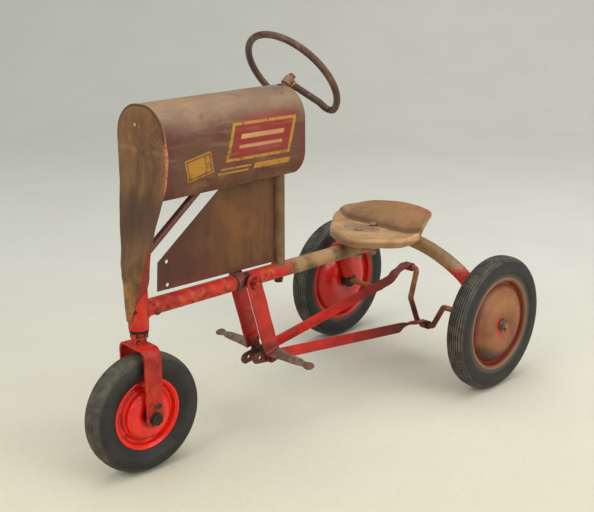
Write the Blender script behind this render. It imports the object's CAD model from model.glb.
"""Looks of the pedal tractor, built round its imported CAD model. Metres, row frame."""

from math import asin, copysign, cos, exp, hypot, pi, radians, sin, sqrt, tan

import bmesh
import bpy
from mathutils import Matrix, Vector, noise


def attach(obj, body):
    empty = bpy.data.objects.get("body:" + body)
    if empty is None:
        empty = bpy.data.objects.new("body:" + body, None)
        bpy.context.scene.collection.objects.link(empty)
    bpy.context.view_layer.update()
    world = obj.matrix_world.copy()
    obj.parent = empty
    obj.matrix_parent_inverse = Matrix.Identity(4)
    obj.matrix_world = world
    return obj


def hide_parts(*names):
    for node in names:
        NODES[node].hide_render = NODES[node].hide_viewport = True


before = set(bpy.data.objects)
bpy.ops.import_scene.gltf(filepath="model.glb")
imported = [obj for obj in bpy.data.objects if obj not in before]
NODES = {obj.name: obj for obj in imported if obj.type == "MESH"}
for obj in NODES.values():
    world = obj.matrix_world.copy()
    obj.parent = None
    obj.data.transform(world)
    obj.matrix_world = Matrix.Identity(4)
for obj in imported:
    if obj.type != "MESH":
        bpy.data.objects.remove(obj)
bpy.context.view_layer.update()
MM = 0.001
CAMERA_AT = (1.1787, -1.1713, 0.7694)
CAMERA_PITCH, CAMERA_TURN, CAMERA_LENS = -16.42, 45.31, 59.99  # degrees, degrees and millimetres
WORLD_COLOUR, WORLD_POWER = (0.92, 0.94, 0.96, 1), 0.60
ROOT = "frame"
SIDES = (("left", 1), ("right", -1))

# ---- sizes that the pieces share with the CAD model, in millimetres ----
FRONT_Y, REAR_Y = -345.0, 316.0
REAR_R, FRONT_R = 127.0, 98.0
TRACK_X = 198.0
SPINE_Z, SPINE_R = 265.0, 13.5
POST_Y, POST_R = -50.0, 11.0
HEAD_R = 16.0
STEER = radians(-3)
COLUMN = radians(38)
BALL_Z = 336.0
PIVOT_Y = -128.0
ARM_LEAN = radians(16.5)
ARM_X, ARM_T, ARM_W, ARM_LEN, BEND_H = 21.0, 4.0, 31.0, 150.0, 132.0
LINK_X, LINK_T, LINK_W = 12.5, 4.0, 20.0
THROW_R, THROW_A = 60.0, radians(69)
PIN_DY, PIN_DZ = THROW_R * cos(THROW_A), THROW_R * sin(THROW_A)
ROD_R = 5.5
HOOD_Y0, HOOD_Y1, HOOD_HALF, HOOD_TOP, HOOD_R = -325.0, -42.0, 56.5, 579.0, 50.0
SIDE_Z0, CURL_R = 479.0, 47.0
ARCH_LEAN = radians(17.76)
ARCH_Y = REAR_Y - (SPINE_Z - REAR_R) * tan(ARCH_LEAN)


# ---- colours ----
def rgb(r, g, b):
    """Linear colour with alpha from 0 to 255 screen values."""
    lin = [c / 255 / 12.92 if c <= 10 else ((c / 255 + 0.055) / 1.055) ** 2.4 for c in (r, g, b)]
    return (*lin, 1.0)


class Mat:
    """A principled material with short calls for its node graph. Coordinates are in metres."""

    def __init__(self, name):
        self.mat = bpy.data.materials.new(name)
        self.mat.use_nodes = True
        self.tree = self.mat.node_tree
        self.tree.nodes.clear()
        out = self.node("OutputMaterial")
        self.bsdf = self.node("BsdfPrincipled")
        self.tree.links.new(self.bsdf.outputs[0], out.inputs[0])
        self.co = self.node("TexCoord").outputs["Object"]
        split = self.node("SeparateXYZ")
        self.tree.links.new(self.co, split.inputs[0])
        self.x, self.y, self.z = split.outputs
        self.skin = None

    def node(self, kind):
        return self.tree.nodes.new("ShaderNode" + kind)

    def put(self, socket, value):
        if isinstance(value, bpy.types.NodeSocket):
            self.tree.links.new(value, socket)
        else:
            socket.default_value = value

    def math(self, op, a, b=0.0, clamp=False):
        n = self.node("Math")
        n.operation, n.use_clamp = op, clamp
        self.put(n.inputs[0], a)
        self.put(n.inputs[1], b)
        return n.outputs[0]

    def chain(self, op, values):
        total = values[0]
        for value in values[1:]:
            total = self.math(op, total, value)
        return total

    def add(self, *values):
        return self.chain("ADD", values)

    def mul(self, *values):
        return self.chain("MULTIPLY", values)

    def most(self, *values):
        return self.chain("MAXIMUM", values)

    def sub(self, a, b):
        return self.math("SUBTRACT", a, b)

    def abs(self, a):
        return self.math("ABSOLUTE", a)

    def hypot(self, a, b):
        return self.math("SQRT", self.add(self.mul(a, a), self.mul(b, b)))

    def inv(self, a):
        return self.math("SUBTRACT", 1.0, a, True)

    def step(self, v, lo, hi):
        """0 below lo, 1 above hi, smooth between; lo may be above hi."""
        n = self.node("MapRange")
        n.interpolation_type = "SMOOTHSTEP"
        flip = lo > hi
        self.put(n.inputs["Value"], v)
        n.inputs["From Min"].default_value = min(lo, hi)
        n.inputs["From Max"].default_value = max(lo, hi)
        n.inputs["To Min"].default_value = 1.0 if flip else 0.0
        n.inputs["To Max"].default_value = 0.0 if flip else 1.0
        return n.outputs["Result"]

    def noise(self, scale, detail=5.0, rough=0.55, stretch=None, distort=0.0, seed=0.0):
        n = self.node("TexNoise")
        co = self.co
        if stretch or seed:
            mp = self.node("Mapping")
            self.tree.links.new(co, mp.inputs["Vector"])
            mp.inputs["Scale"].default_value = stretch or (1, 1, 1)
            mp.inputs["Location"].default_value = (seed, seed * 0.7, -seed)
            co = mp.outputs["Vector"]
        self.tree.links.new(co, n.inputs["Vector"])
        n.inputs["Scale"].default_value = scale
        n.inputs["Detail"].default_value = detail
        n.inputs["Roughness"].default_value = rough
        n.inputs["Distortion"].default_value = distort
        return n.outputs[0]

    def blotch(self, lo, hi, *args, **kwargs):
        """Spots where a noise passes from lo to hi."""
        return self.step(self.noise(*args, **kwargs), lo, hi)

    def wobble(self, size, *args, **kwargs):
        """A noise of that size, about zero."""
        return self.mul(self.sub(self.noise(*args, **kwargs), 0.5), size)

    def mix(self, fac, a, b):
        n = self.node("Mix")
        n.data_type = "RGBA"
        self.put(n.inputs[0], fac)
        self.put(n.inputs[6], a)
        self.put(n.inputs[7], b)
        return n.outputs[2]

    def tone(self, v, lo, hi, a, b):
        """Colour a below lo, going to b above hi."""
        return self.mix(self.step(v, lo, hi), a, b)

    def weigh(self, *pairs):
        """Sum of values, each followed by its weight."""
        return self.add(*(self.mul(v, w) for v, w in zip(pairs[::2], pairs[1::2])))

    def level(self, base, *pairs):
        """A base value, and weighted ones on top."""
        return self.add(base, self.weigh(*pairs))

    def wheel(self, rear):
        """Distances behind and above a wheel's axle, and away from it."""
        dy = self.sub(self.y, (REAR_Y if rear else FRONT_Y) * MM)
        dz = self.sub(self.z, (REAR_R if rear else FRONT_R) * MM)
        return dy, dz, self.hypot(dy, dz)

    def coat(self, mask, colour, share=None):
        """Lays a colour over the skin where the mask is, at that share."""
        self.skin = self.mix(mask if share is None else self.mul(mask, share), self.skin, colour)

    def edges(self, radius=0.0015, lo=0.02, hi=0.16):
        """A mask of the outer edges, where paint rubs off."""
        b = self.node("Bevel")
        b.samples = 4
        b.inputs["Radius"].default_value = radius
        g = self.node("NewGeometry")
        d = self.node("VectorMath")
        d.operation = "DOT_PRODUCT"
        self.tree.links.new(b.outputs[0], d.inputs[0])
        self.tree.links.new(g.outputs["Normal"], d.inputs[1])
        return self.step(self.inv(d.outputs["Value"]), lo, hi)

    def bump(self, height, distance, strength=1.0, normal=None):
        n = self.node("Bump")
        self.put(n.inputs["Height"], height)
        n.inputs["Distance"].default_value = distance
        n.inputs["Strength"].default_value = strength
        if normal is not None:
            self.tree.links.new(normal, n.inputs["Normal"])
        return n.outputs[0]

    def done(self, rough, normal=None, metal=0.0, **sockets):
        """Ends the material, with the skin as its colour."""
        self.put(self.bsdf.inputs["Base Color"], self.skin)
        self.put(self.bsdf.inputs["Roughness"], rough)
        self.put(self.bsdf.inputs["Metallic"], metal)
        if normal is not None:
            self.put(self.bsdf.inputs["Normal"], normal)
        for key, value in sockets.items():
            self.bsdf.inputs[key.replace("_", " ")].default_value = value
        return self.mat


RED, RED_DEEP, RED_DARK = rgb(204, 30, 8), rgb(150, 18, 6), rgb(80, 18, 8)
RUST, RUST_DARK, GRIME = rgb(122, 66, 36), rgb(66, 38, 26), rgb(48, 38, 30)
TAN, TAN_DARK, KHAKI = rgb(166, 130, 88), rgb(104, 76, 50), rgb(126, 98, 64)


def bare_metal(m, fine, chip_size, limit, rub, share=0.9, extra=()):
    """Chips above limit, and edges rubbed bare; rub is the blotch that breaks the edges up."""
    chip = m.step(m.weigh(fine, 0.7, m.noise(chip_size, 3, seed=1.5), 0.45), limit, limit + 0.03)
    return m.most(chip, *extra, m.mul(m.mul(m.edges(), rub), share))


def paint_red(name, chips=0.5, fade=0.0, gloss=0.42, tan=None, grime=None):
    """Old red paint: chips, rubbed edges, dirt. tan and grime are functions that make a mask."""
    m = Mat(name)
    broad, fine = m.noise(22, 4), m.noise(160, 6, 0.62)
    m.skin = m.tone(broad, 0.35, 0.72, RED, RED_DEEP)
    if fade:
        m.coat(m.mul(m.blotch(0.42, 0.68, 55, 6, 0.6, seed=3), fade), rgb(196, 84, 40))
    dirt = m.blotch(0.6 - 0.06 * chips, 0.7, 70, 7, 0.66, distort=0.6, seed=7)
    m.coat(dirt, RED_DARK, 0.75)
    patch = m.step(m.add(m.noise(24, 5, 0.62, seed=31), m.mul(m.sub(fine, 0.5), 0.25)),
                   0.665 - 0.02 * chips, 0.7 - 0.02 * chips)
    bare = bare_metal(m, fine, 30, 0.76 - 0.09 * chips, m.blotch(0.38, 0.62, 90, 4, seed=5), extra=(patch,))
    m.coat(bare, m.tone(fine, 0.4, 0.6, RUST_DARK, GRIME))
    if tan:
        m.coat(tan(m), m.mix(m.blotch(0.38, 0.66, 26, 6, 0.6, seed=9), TAN, TAN_DARK))
    if grime:
        m.coat(grime(m), m.mix(fine, GRIME, RUST_DARK))
    rough = m.level(gloss, fine, 0.2, bare, 0.3)
    height = m.sub(m.mul(fine, 0.25), m.mul(bare, 0.5))
    return m.done(rough, m.bump(height, 0.0006, 0.55), Specular_IOR_Level=0.4)


def tan_patina(name, low=KHAKI, red=None):
    """Bare steel gone to a dull tan skin, with brown stains and fine scratches."""
    m = Mat(name)
    broad, fine = m.noise(18, 6, 0.6, distort=0.4), m.noise(240, 5, 0.6)
    m.skin = m.tone(broad, 0.36, 0.66, TAN, low)
    m.coat(m.blotch(0.52, 0.68, 60, 7, 0.68, seed=4), rgb(120, 84, 58), 0.7)
    m.coat(m.blotch(0.6, 0.7, 36, 6, 0.62, seed=8), rgb(170, 112, 70), 0.6)
    m.coat(m.step(fine, 0.62, 0.72), RUST_DARK, 0.5)
    if red:
        m.coat(red(m), m.tone(fine, 0.4, 0.66, rgb(206, 44, 26), rgb(140, 26, 16)))
    scratch = m.noise(60, 3, 0.5, stretch=(1, 14, 14), seed=2)
    rough = m.level(0.46, broad, 0.25)
    height = m.weigh(fine, 0.5, scratch, 0.3)
    return m.done(rough, m.bump(height, 0.0005, 0.4), Specular_IOR_Level=0.45)


def seat_material():
    """The seat's tan skin: brown along the fold, reddish at the rim, a greyish oval round the bolts."""
    m = Mat("seat_patina")
    broad, fine = m.noise(17, 6, 0.62, distort=0.5), m.noise(250, 5, 0.6)
    m.skin = m.tone(broad, 0.36, 0.66, rgb(188, 148, 100), rgb(156, 116, 72))
    wob = m.wobble(0.006, 30, 4, seed=3)
    d = m.add(m.sub(m.y, 0.197), m.mul(m.x, 0.06), wob)
    flap = m.step(d, 0.001, 0.006)
    face = m.mix(m.blotch(0.4, 0.62, 26, 6, 0.62, seed=5), rgb(150, 108, 64), rgb(128, 90, 56))
    m.coat(flap, face, 0.85)
    groove = m.mul(m.step(d, -0.001, 0.002), m.step(d, 0.014, 0.004))
    m.coat(groove, rgb(86, 54, 34), 0.7)
    rim = m.mul(m.step(m.z, 0.327, 0.334), m.blotch(0.36, 0.56, 34, 4, seed=8))
    m.coat(rim, rgb(160, 84, 48), 0.65)
    u, v = m.math("DIVIDE", m.add(m.x, 0.004), 0.040), m.math("DIVIDE", m.sub(m.y, 0.168), 0.024)
    oval = m.add(m.mul(u, u), m.mul(v, v))
    ring = m.mul(m.step(oval, 1.25, 0.85), m.blotch(0.25, 0.5, 60, 4, seed=2))
    m.coat(ring, rgb(120, 88, 78), 0.6)
    edge = m.step(m.z, 0.2955, 0.2925)
    m.coat(edge, rgb(120, 84, 58), 0.6)
    stain = m.blotch(0.54, 0.68, 60, 7, 0.68, seed=4)
    m.coat(stain, rgb(112, 78, 56), 0.5)
    m.coat(m.step(fine, 0.62, 0.72), rgb(92, 66, 48), 0.4)
    m.coat(m.edges(0.0015), rgb(196, 158, 112), 0.6)
    rough = m.level(0.4, broad, 0.25)
    return m.done(rough, m.bump(m.weigh(fine, 0.5, broad, 0.3), 0.0005, 0.4), Specular_IOR_Level=0.5)


def steel(name, base, dark, rust=0.3, metal=0.55, rough0=0.42):
    """Bolt and plate steel: dull grey brown with rust and oily dirt."""
    m = Mat(name)
    fine, mid = m.noise(320, 6, 0.65), m.noise(70, 6, 0.6, seed=6)
    m.skin = m.tone(mid, 0.38, 0.64, base, dark)
    m.coat(m.mul(m.step(fine, 0.5, 0.64), rust), RUST)
    m.coat(m.edges(0.0008), rgb(150, 138, 122), 0.5)
    return m.done(m.level(rough0, mid, 0.35), m.bump(m.add(fine, mid), 0.0004, 0.5), metal)


def box_mask(m, u, v, box, soft=0.0006):
    """A rectangle (u0, u1, v0, v1) in metres, with soft edges."""
    u0, u1, v0, v1 = box
    a = m.mul(m.step(u, u0 - soft, u0 + soft), m.step(u, u1 + soft, u1 - soft))
    return m.mul(a, m.mul(m.step(v, v0 - soft, v0 + soft), m.step(v, v1 + soft, v1 - soft)))


# the hood's painted marks, from y0 to y1 and from z0 to z1 in metres
PANEL_HALO, PANEL_FIELD = (-0.19, -0.075, 0.486, 0.548), (-0.196, -0.078, 0.489, 0.532)
PANEL_OUT, PANEL_IN = (-0.204, -0.070, 0.482, 0.540), (-0.198, -0.076, 0.4865, 0.5355)
STRIPES = ((-0.182, -0.092, 0.5145, 0.5215), (-0.182, -0.092, 0.5000, 0.5050))
BARS = ((-0.212, -0.15, 0.4705, 0.4735), (-0.214, -0.152, 0.464, 0.467), (-0.142, -0.066, 0.465, 0.474))
BADGE, BADGE_OUT, BADGE_IN = ((-0.288, -0.237, 0.4655, 0.500), (-0.2855, -0.2395, 0.468, 0.4975),
                              (-0.2835, -0.2415, 0.470, 0.4955))


def hood_material():
    """Brown patina over maroon, a tan rubbed top, and a worn plain panel with stripes and a blank badge."""
    m = Mat("hood_patina")
    wobble = m.wobble(0.05, 14, 4, seed=2)
    z = m.add(m.z, wobble)
    streak = m.noise(26, 6, 0.62, stretch=(1, 0.35, 1.5), seed=1)
    fine = m.noise(260, 5, 0.62)
    m.skin = m.tone(streak, 0.34, 0.66, rgb(100, 52, 32), rgb(92, 57, 32))
    m.coat(m.step(z, 0.462, 0.44), m.tone(streak, 0.4, 0.6, rgb(128, 90, 50), rgb(96, 64, 36)), 0.85)
    maroon = m.mul(m.blotch(0.48, 0.62, 17, 5, 0.6, seed=11), m.step(z, 0.56, 0.53))
    m.coat(maroon, rgb(88, 26, 22), 0.8)
    front = m.mul(m.step(m.y, -0.312, -0.334), m.step(z, 0.53, 0.49))
    rear = m.mul(m.step(m.y, -0.058, -0.047), m.step(z, 0.56, 0.50))
    m.coat(m.most(front, rear), rgb(108, 38, 32), 0.7)
    skin = m.add(z, m.wobble(0.03, 40, 6, 0.62, stretch=(1, 0.5, 1), seed=21))
    top = m.mix(m.blotch(0.4, 0.62, 30, 6, 0.62, stretch=(1, 0.4, 1), seed=12), rgb(126, 98, 74),
                rgb(142, 112, 82))
    m.coat(m.step(skin, 0.528, 0.566), top)
    m.coat(m.mul(m.step(z, 0.562, 0.58), m.step(m.y, -0.2, -0.33)), rgb(172, 132, 80), 0.7)
    stain = m.blotch(0.56, 0.7, 33, 7, 0.68, distort=0.8, seed=5)
    m.coat(stain, rgb(84, 58, 46), 0.55)
    # the painted panel: on both sides, and worn through in places
    lean = m.sub(m.y, m.mul(m.sub(m.z, 0.51), 0.28))
    m.coat(box_mask(m, lean, m.z, PANEL_HALO, 0.012), rgb(140, 34, 28), 0.8)
    field = box_mask(m, lean, m.z, PANEL_FIELD)
    border = m.mul(box_mask(m, lean, m.z, PANEL_OUT), m.inv(box_mask(m, lean, m.z, PANEL_IN)))
    cream = m.most(*(box_mask(m, lean, m.z, box) for box in STRIPES))
    bar1, bar2, bar3 = (box_mask(m, lean, m.z, box) for box in BARS)
    tilt = m.sub(m.z, m.mul(m.add(m.y, 0.262), 0.20))
    tilt_y = m.add(m.y, m.mul(m.sub(m.z, 0.482), 0.20))
    badge = box_mask(m, tilt_y, tilt, BADGE)
    rim = m.mul(box_mask(m, tilt_y, tilt, BADGE_OUT), m.inv(box_mask(m, tilt_y, tilt, BADGE_IN)))
    worn = m.step(m.weigh(m.noise(150, 6, 0.7, seed=3), 0.6, m.noise(28, 3, seed=6), 0.4), 0.6, 0.52)
    m.coat(m.mul(field, m.weigh(worn, 0.5, m.step(streak, 0.66, 0.42), 0.35)), rgb(142, 14, 10))
    brushed = m.noise(90, 5, 0.65, stretch=(1, 0.12, 1), seed=41)
    m.coat(m.step(brushed, 0.52, 0.66), rgb(146, 112, 80), 0.35)
    yellow = m.most(border, bar1, m.most(bar2, bar3))
    m.coat(m.mul(yellow, m.add(m.mul(worn, 0.75), 0.15)), rgb(184, 128, 26))
    m.coat(m.mul(cream, m.add(m.mul(m.step(streak, 0.62, 0.4), 0.3), 0.55)), rgb(206, 166, 104))
    plate = m.mul(badge, m.inv(rim))
    m.coat(m.mul(plate, m.add(m.mul(worn, 0.7), 0.25)), rgb(176, 120, 24))
    dots = m.blotch(0.64, 0.72, 420, 4, 0.6, seed=8)
    m.coat(dots, rgb(64, 42, 32), 0.55)
    rub = m.mul(m.edges(0.002), 0.8)
    m.coat(rub, rgb(168, 120, 80))
    rough = m.level(0.36, brushed, 0.2, stain, 0.12)
    height = m.add(m.mul(fine, 0.4), m.mul(dots, -0.5))
    height = m.add(height, m.mul(yellow, 0.25))
    return m.done(rough, m.bump(height, 0.0005, 0.35), Specular_IOR_Level=0.5)


def shroud_material():
    """Olive brown rust, darker down the flanks, orange along the seam with the hood and at the foot."""
    m = Mat("shroud_patina")
    fine = m.noise(230, 6, 0.64)
    runs = m.noise(34, 6, 0.62, stretch=(1, 1, 0.22), seed=3)
    m.skin = m.tone(runs, 0.34, 0.66, rgb(122, 86, 46), rgb(82, 52, 27))
    m.coat(m.blotch(0.46, 0.62, 16, 5, 0.6, seed=4), rgb(116, 78, 46), 0.6)
    flank = m.mul(m.step(m.y, -0.352, -0.341), m.step(m.z, 0.46, 0.42))
    m.coat(flank, rgb(70, 44, 30), 0.7)
    m.coat(m.step(m.z, 0.55, 0.58), rgb(142, 106, 66), 0.6)
    band = m.mul(m.step(m.z, 0.504, 0.508), m.step(m.z, 0.516, 0.511))
    m.coat(m.mul(band, m.mul(m.blotch(0.42, 0.58, 60, 4, seed=16), 0.4)), rgb(150, 112, 74))
    rim = m.add(m.y, m.wobble(0.006, 90, 5, seed=7))
    seam = m.mul(m.step(rim, -0.3285, -0.3255), m.step(m.z, 0.575, 0.52))
    m.coat(seam, m.tone(fine, 0.42, 0.6, rgb(206, 140, 96), rgb(168, 82, 44)), 0.85)
    over = m.most(m.sub(m.abs(m.x), 0.007), 0.0)
    up = m.sub(m.z, 0.525)
    arc = m.hypot(over, up)
    line = m.mul(m.step(arc, 0.0468, 0.0482), m.step(m.z, 0.515, 0.53), m.step(m.y, -0.3245, -0.3262))
    m.coat(line, m.tone(fine, 0.4, 0.6, rgb(92, 40, 28), rgb(60, 34, 24)), 0.85)
    foot = m.mul(m.step(m.z, 0.345, 0.3), m.blotch(0.42, 0.6, 38, 5, 0.6, seed=9))
    m.coat(foot, rgb(158, 106, 50), 0.8)
    edge = m.mul(m.step(m.x, -0.016, -0.024), m.mul(m.step(m.z, 0.36, 0.33), m.step(m.z, 0.295, 0.31)))
    m.coat(edge, rgb(196, 130, 50), 0.7)
    ragged = m.wobble(0.006, 60, 4, 0.6, seed=12)
    flank_y = m.add(m.sub(m.y, m.mul(m.sub(m.z, 0.300), 0.14)), ragged)
    low = m.mul(m.step(flank_y, -0.3572, -0.3548), m.step(m.z, 0.378, 0.350))
    m.coat(low, m.tone(fine, 0.4, 0.62, rgb(150, 34, 18), rgb(104, 34, 22)), 0.9)
    dark = m.blotch(0.56, 0.68, 44, 7, 0.7, stretch=(1, 1, 0.3), seed=14)
    m.coat(dark, rgb(60, 42, 28), 0.5)
    spots = m.step(fine, 0.62, 0.70)
    m.coat(spots, rgb(150, 90, 50), 0.4)
    m.coat(m.edges(0.0012), rgb(160, 104, 62), 0.5)
    rough = m.level(0.44, runs, 0.18, spots, 0.15)
    return m.done(rough, m.bump(m.weigh(fine, 0.5, runs, 0.3), 0.0006, 0.4), Specular_IOR_Level=0.45)


def panel_material():
    """Dark maroon going to olive brown towards the post, with runs and dark spots."""
    m = Mat("panel_patina")
    fine = m.noise(230, 6, 0.64)
    runs = m.noise(30, 6, 0.62, stretch=(1, 1, 0.2), seed=5)
    along = m.step(m.add(m.y, m.wobble(0.22, 9, 4, seed=1)), -0.27, -0.13)
    m.skin = m.mix(along, rgb(84, 36, 22), rgb(108, 68, 28))
    m.coat(m.step(runs, 0.44, 0.66), rgb(74, 42, 22), 0.7)
    warm = m.blotch(0.48, 0.62, 15, 5, 0.6, seed=18)
    m.coat(m.mul(warm, along), rgb(132, 80, 36), 0.6)
    head = m.mul(m.step(m.z, 0.395, 0.435), m.blotch(0.42, 0.6, 40, 6, 0.66, stretch=(1, 1, 0.4), seed=19))
    m.coat(head, rgb(58, 32, 22), 0.7)
    foot = m.mul(m.step(m.z, 0.3, 0.29), m.blotch(0.42, 0.58, 50, 5, 0.6, seed=23))
    m.coat(foot, rgb(120, 50, 30), 0.7)
    m.coat(m.step(m.z, 0.3, 0.286), rgb(76, 46, 28), 0.5)
    spots = m.blotch(0.68, 0.74, 52, 4, 0.5, seed=8)
    m.coat(spots, rgb(52, 34, 26), 0.75)
    near_post = m.step(m.y, -0.078, -0.062)
    m.coat(near_post, rgb(70, 44, 30), 0.55)
    m.coat(m.edges(0.0012), rgb(150, 104, 66), 0.6)
    rough = m.level(0.46, runs, 0.2)
    return m.done(rough, m.bump(m.weigh(fine, 0.5, runs, 0.3), 0.0005, 0.4), Specular_IOR_Level=0.45)


def rubber(name, rear):
    """Aged grey black rubber: dusty tread, smoother side, fine cracks and scuffs."""
    m = Mat(name)
    fine, mid = m.noise(380, 6, 0.66), m.noise(34, 6, 0.6, distort=0.4, seed=2)
    m.skin = m.tone(mid, 0.36, 0.68, rgb(30, 29, 27), rgb(46, 44, 40))
    _, _, radius = m.wheel(rear)
    edge = (REAR_R if rear else FRONT_R) * MM
    tread = m.step(radius, edge - 0.010, edge - 0.003)
    dust = m.mul(tread, m.level(0.18, m.blotch(0.38, 0.64, 60, 6, 0.66, seed=5), 0.5))
    m.coat(dust, rgb(112, 106, 92) if rear else rgb(102, 96, 80))
    if rear:
        phase = m.math("FRACT", m.math("DIVIDE", m.add(m.abs(m.x), 1.008 - TRACK_X * MM), 0.0042))
        groove = m.mul(m.step(m.abs(m.sub(phase, 0.5)), 0.22, 0.12),
                       m.step(radius, edge - 0.008, edge - 0.005))
        m.coat(groove, rgb(20, 19, 18), 0.85)
    scuff = m.blotch(0.6, 0.74, 26, 7, 0.72, distort=1.2, seed=9)
    m.coat(scuff, rgb(84, 80, 68), 0.4)
    bead = m.step(radius, (0.0965 if rear else 0.066), (0.0925 if rear else 0.0625))
    m.coat(bead, rgb(104, 96, 82) if rear else rgb(30, 29, 28), 0.5)
    speck = m.step(fine, 0.62, 0.70)
    m.coat(speck, rgb(104, 98, 84), 0.3)
    rough = m.level(0.52, mid, 0.16, dust, 0.2)
    height = m.weigh(fine, 0.6, mid, 0.6)
    return m.done(rough, m.bump(height, 0.0007, 0.45), Specular_IOR_Level=0.42)


def disc_red(name, front):
    """Glossy red wheel paint with small chips, and shade-dark dirt in the channel."""
    m = Mat(name)
    fine, mid = m.noise(200, 6, 0.64), m.noise(30, 5, 0.6, seed=3)
    m.skin = m.tone(mid, 0.36, 0.7, *((rgb(240, 32, 12), rgb(214, 22, 8)) if front
                                      else (rgb(206, 22, 7), rgb(176, 14, 5))))
    _, _, radius = m.wheel(not front)
    r0, r1 = (0.043, 0.050) if front else (0.070, 0.080)
    channel = m.mul(m.step(radius, r0 - 0.002, r0 + 0.001), m.step(radius, r1 + 0.002, r1 - 0.001))
    dirt = m.mul(channel, m.blotch(0.4, 0.64, 48, 6, 0.66, seed=7))
    m.coat(dirt, rgb(104, 18, 14), 0.65)
    chip = m.step(m.weigh(fine, 0.65, m.noise(36, 3, seed=5), 0.5), 0.72, 0.745)
    m.coat(chip, m.mix(fine, rgb(70, 28, 20), rgb(110, 60, 40)))
    hub = m.step(radius, 0.017, 0.012)
    m.coat(hub, rgb(40, 26, 22), 0.8)
    rough = m.level(0.2, mid, 0.14, m.most(chip, dirt), 0.35)
    height = m.sub(m.mul(m.noise(120, 3, seed=4), 0.5), m.mul(chip, 0.8))
    return m.done(rough, m.bump(height, 0.0004, 0.4), Coat_Weight=0.25, Coat_Roughness=0.12)


def disc_rust():
    """The left rear wheel's outer face: rust brown, with red left round the hub and in the channel."""
    m = Mat("disc_rust")
    fine, mid = m.noise(210, 6, 0.66), m.noise(24, 6, 0.62, distort=0.5, seed=2)
    m.skin = m.tone(mid, 0.34, 0.66, rgb(148, 90, 50), rgb(118, 64, 32))
    dy, dz, radius = m.wheel(True)
    ragged = m.add(radius, m.wobble(0.014, 70, 5, 0.6, seed=8))
    channel = m.mul(m.step(radius, 0.066, 0.071), m.step(radius, 0.0835, 0.080))
    m.coat(channel, m.tone(mid, 0.4, 0.62, rgb(128, 66, 26), rgb(112, 30, 20)), 0.75)
    low = m.mul(channel, m.step(m.add(dz, m.mul(dy, -0.4)), -0.030, -0.055))
    m.coat(low, rgb(126, 30, 20), 0.85)
    shade = m.mul(m.step(radius, 0.044, 0.066), m.step(radius, 0.073, 0.07), m.step(dz, -0.008, -0.045))
    light = m.mul(m.step(radius, 0.06, 0.045), m.step(m.add(dz, m.mul(m.sub(mid, 0.5), 0.05)), -0.005,
                                                      0.04))
    m.coat(light, rgb(166, 116, 70), 0.55)
    m.coat(shade, rgb(44, 24, 18), 0.9)
    red = m.mul(m.step(ragged, 0.028, 0.018), m.step(m.add(dy, m.mul(m.noise(40, 3, seed=6), 0.01)), 0.012,
                                                     -0.004))
    m.coat(red, m.tone(fine, 0.45, 0.6, rgb(206, 44, 28), rgb(150, 44, 28)))
    rim = m.step(radius, 0.083, 0.086)
    m.coat(rim, rgb(128, 104, 84), 0.7)
    spots = m.step(fine, 0.58, 0.68)
    m.coat(spots, rgb(96, 54, 34), 0.45)
    hub = m.step(radius, 0.015, 0.011)
    m.coat(hub, rgb(44, 32, 26), 0.8)
    rough = m.level(0.42, mid, 0.2, spots, 0.12)
    return m.done(rough, m.bump(m.weigh(fine, 0.6, mid, 0.3), 0.0006, 0.5), Specular_IOR_Level=0.5)


def crank_material():
    """Round rod: tan rust on its right half, dark red paint on its left half, bright where the pins rub."""
    m = Mat("crank_rod_wear")
    fine, mid = m.noise(300, 6, 0.64), m.noise(60, 5, 0.6, seed=3)
    side = m.step(m.add(m.z, m.wobble(0.03, 30, 4, seed=1)), 0.128, 0.112)
    right = m.tone(mid, 0.4, 0.62, rgb(158, 104, 62), rgb(122, 70, 40))
    left = m.tone(mid, 0.4, 0.62, rgb(126, 40, 26), rgb(82, 34, 24))
    m.skin = m.mix(side, right, left)
    m.coat(m.step(fine, 0.55, 0.66), rgb(70, 42, 28), 0.6)
    rough = m.level(0.4, mid, 0.3)
    return m.done(rough, m.bump(fine, 0.0005, 0.5), 0.15)


def steering_material(name, base, light):
    """Brown black rod with a rubbed, lighter upper side."""
    m = Mat(name)
    fine, mid = m.noise(300, 6, 0.64), m.noise(38, 5, 0.6, seed=5)
    m.skin = m.tone(mid, 0.36, 0.64, base, light)
    m.coat(m.blotch(0.56, 0.66, 90, 6, 0.66, seed=7), rgb(128, 92, 62), 0.6)
    m.coat(m.step(fine, 0.58, 0.68), rgb(50, 34, 26), 0.4)
    rough = m.level(0.34, mid, 0.25)
    return m.done(rough, m.bump(m.add(fine, mid), 0.0005, 0.4), 0.1)


def weld_material(name, base, dark, metal=0.5):
    m = Mat(name)
    fine = m.noise(420, 6, 0.66)
    m.skin = m.tone(fine, 0.4, 0.62, base, dark)
    return m.done(m.level(0.32, fine, 0.3), m.bump(fine, 0.0006, 0.6), metal)


def near_joint(m):
    """Grime near the pedal pivot, along the spine."""
    d = m.abs(m.add(m.y, 0.14))
    return m.mul(m.step(d, 0.026, 0.01), m.blotch(0.4, 0.56, 70, 6, 0.66, seed=13))


def spine_tan(m):
    wobble = m.wobble(0.035, 30, 5, 0.6, seed=15)
    return m.step(m.add(m.y, wobble), -0.052, -0.012)


def arch_red(m):
    height = m.add(m.z, m.wobble(0.02, 60, 4, seed=3))
    return m.step(height, 0.236, 0.212)


def low_grime(m):
    """Dirt low on the pedal arms, near the link bolts."""
    z = m.add(m.z, m.wobble(0.03, 50, 5, 0.6, seed=4))
    return m.mul(m.step(z, 0.158, 0.140), 0.8)


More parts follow.
